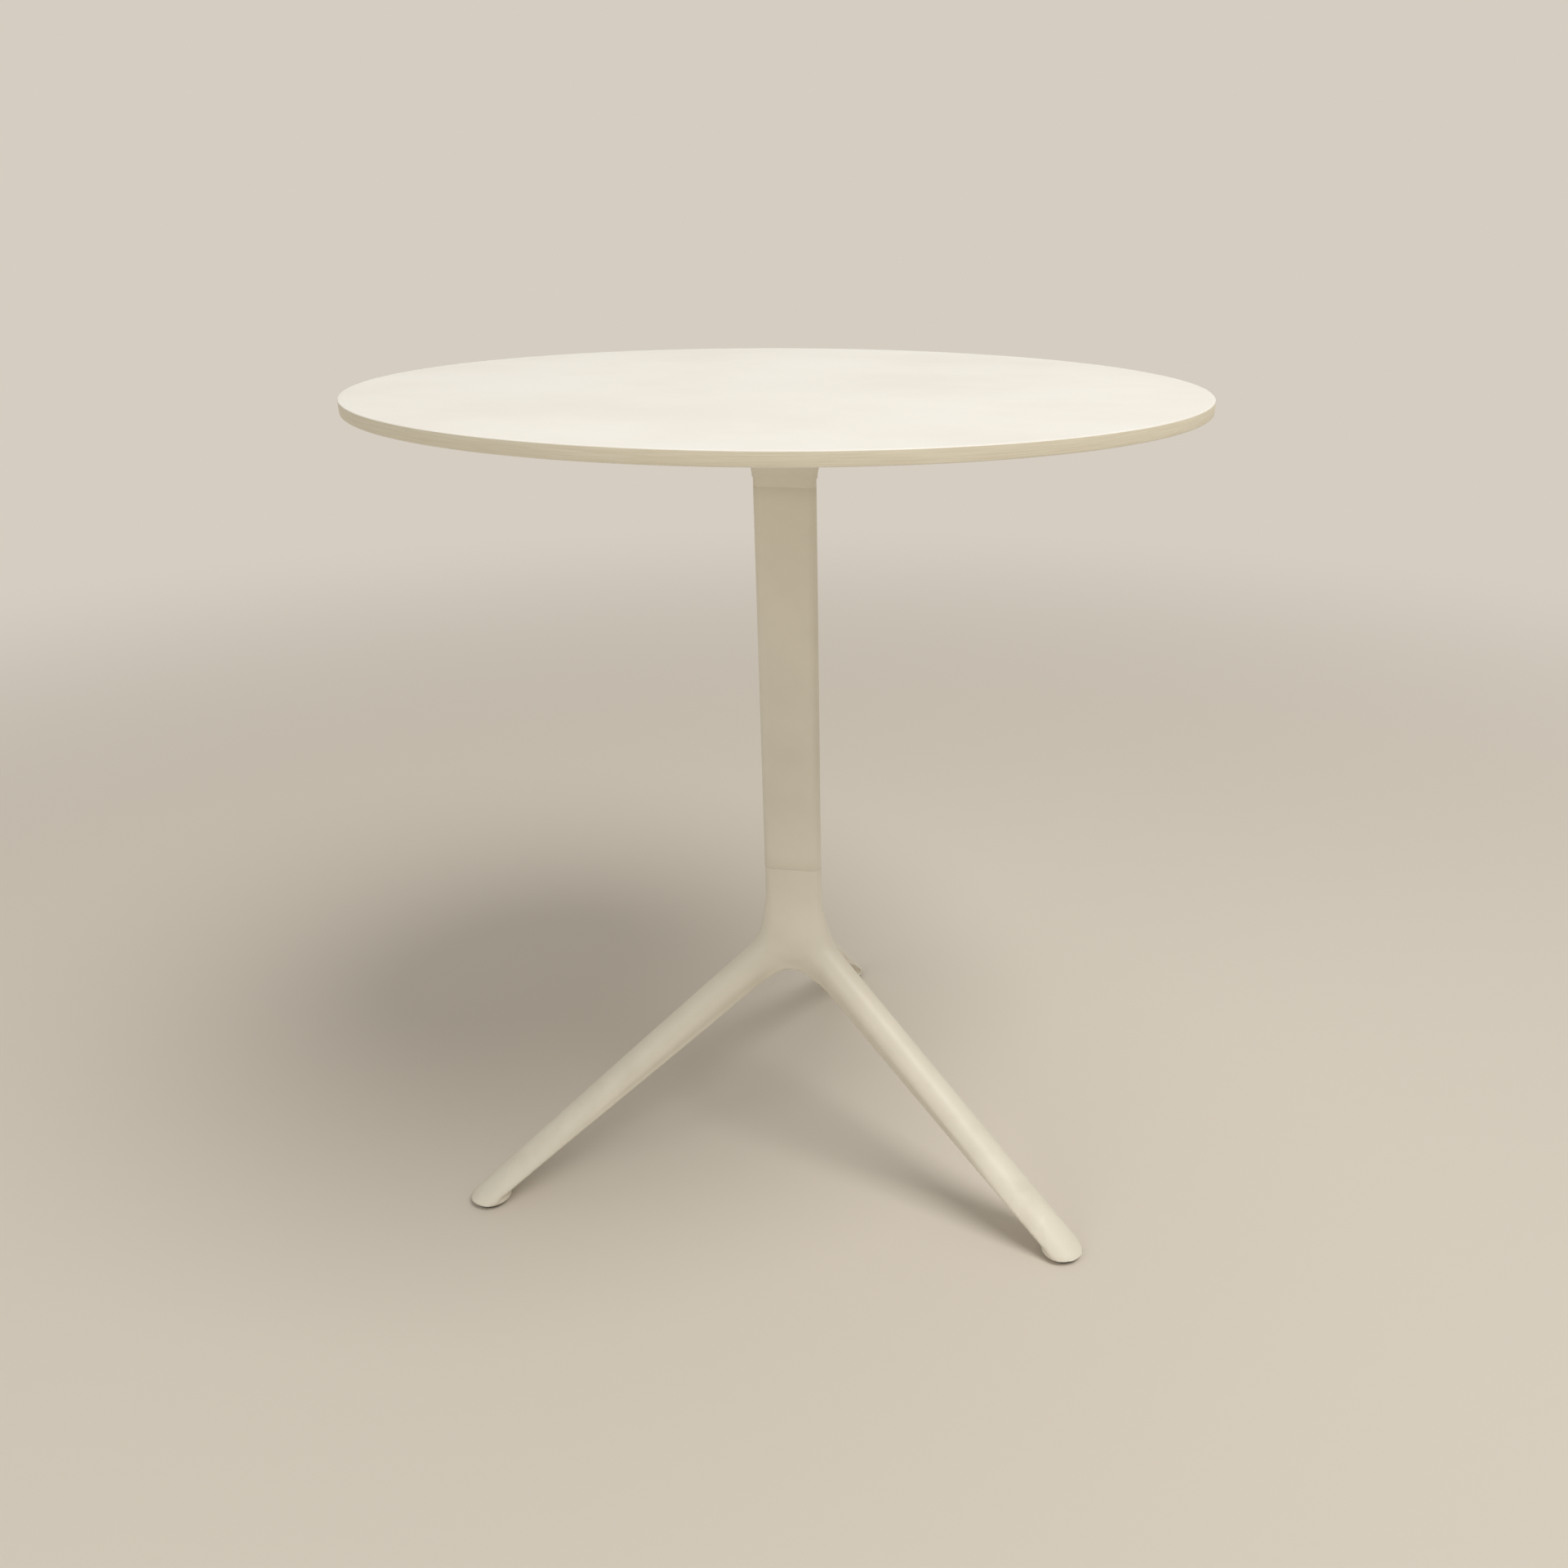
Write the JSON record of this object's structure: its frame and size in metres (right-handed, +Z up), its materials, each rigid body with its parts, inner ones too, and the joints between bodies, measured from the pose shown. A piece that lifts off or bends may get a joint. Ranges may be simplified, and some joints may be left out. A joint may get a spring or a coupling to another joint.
{
  "type": "bistro table",
  "caption": "Round compact-laminate bistro table on a rounded triangular column and a fixed three-legged cast base with screw-adjusted levelling glides.",
  "frame": {"origin": "on the floor, under the column's axis", "axes": "+Z up along the column; -Y towards the side between the left and right legs, the column's flat front; the rear leg points along +Y"},
  "size_m": [0.6999, 0.7, 0.75],
  "materials": {
    "laminate": "fine matt white compact laminate with a cream edge",
    "coated_casting": "die-cast aluminium, satin warm-white powder coat",
    "coated_column": "extruded aluminium, satin warm-white powder coat",
    "zinc_steel": "zinc-plated steel",
    "insert_brass": "plain brass",
    "pad_plastic": "black moulded nylon"
  },
  "bodies": {
    "table": {"table_top": "laminate", "top_inserts": "insert_brass", "top_screws": "zinc_steel", "screw_washers": "zinc_steel", "top_bracket": "coated_casting", "column": "coated_column", "tie_rod": "zinc_steel", "tie_nuts": "zinc_steel", "tie_washers": "zinc_steel", "spring_washer": "zinc_steel", "base_casting": "coated_casting", "thread_bush_left": "zinc_steel", "thread_bush_right": "zinc_steel", "thread_bush_rear": "zinc_steel"},
    "pad_left": {"glide_pad_left": "pad_plastic"},
    "pad_right": {"glide_pad_right": "pad_plastic"},
    "pad_rear": {"glide_pad_rear": "pad_plastic"},
    "stud_left": {"glide_stud_left": "zinc_steel"},
    "stud_right": {"glide_stud_right": "zinc_steel"},
    "stud_rear": {"glide_stud_rear": "zinc_steel"}
  },
  "joints": [
    {"name": "level_left", "type": "slide", "parent": "table", "child": "pad_left", "axis": [0, 0, -1], "range_m": [0, 0.005]},
    {"name": "level_right", "type": "slide", "parent": "table", "child": "pad_right", "axis": [0, 0, -1], "range_m": [0, 0.005]},
    {"name": "level_rear", "type": "slide", "parent": "table", "child": "pad_rear", "axis": [0, 0, -1], "range_m": [0, 0.005]},
    {"name": "stud_turn_left", "type": "hinge", "parent": "pad_left", "child": "stud_left", "pos_m": [-0.27973, -0.1615, 0], "axis": [0, 0, 1], "range_deg": [0, 1460]},
    {"name": "stud_turn_right", "type": "hinge", "parent": "pad_right", "child": "stud_right", "pos_m": [0.27973, -0.1615, 0], "axis": [0, 0, 1], "range_deg": [0, 1460]},
    {"name": "stud_turn_rear", "type": "hinge", "parent": "pad_rear", "child": "stud_rear", "pos_m": [0, 0.323, 0], "axis": [0, 0, 1], "range_deg": [0, 1460]}
  ],
  "couplings": [
    {"joint": "stud_turn_left", "follows": "level_left", "rad_per_m": 5026.5},
    {"joint": "stud_turn_right", "follows": "level_right", "rad_per_m": 5026.5},
    {"joint": "stud_turn_rear", "follows": "level_rear", "rad_per_m": 5026.5}
  ]
}
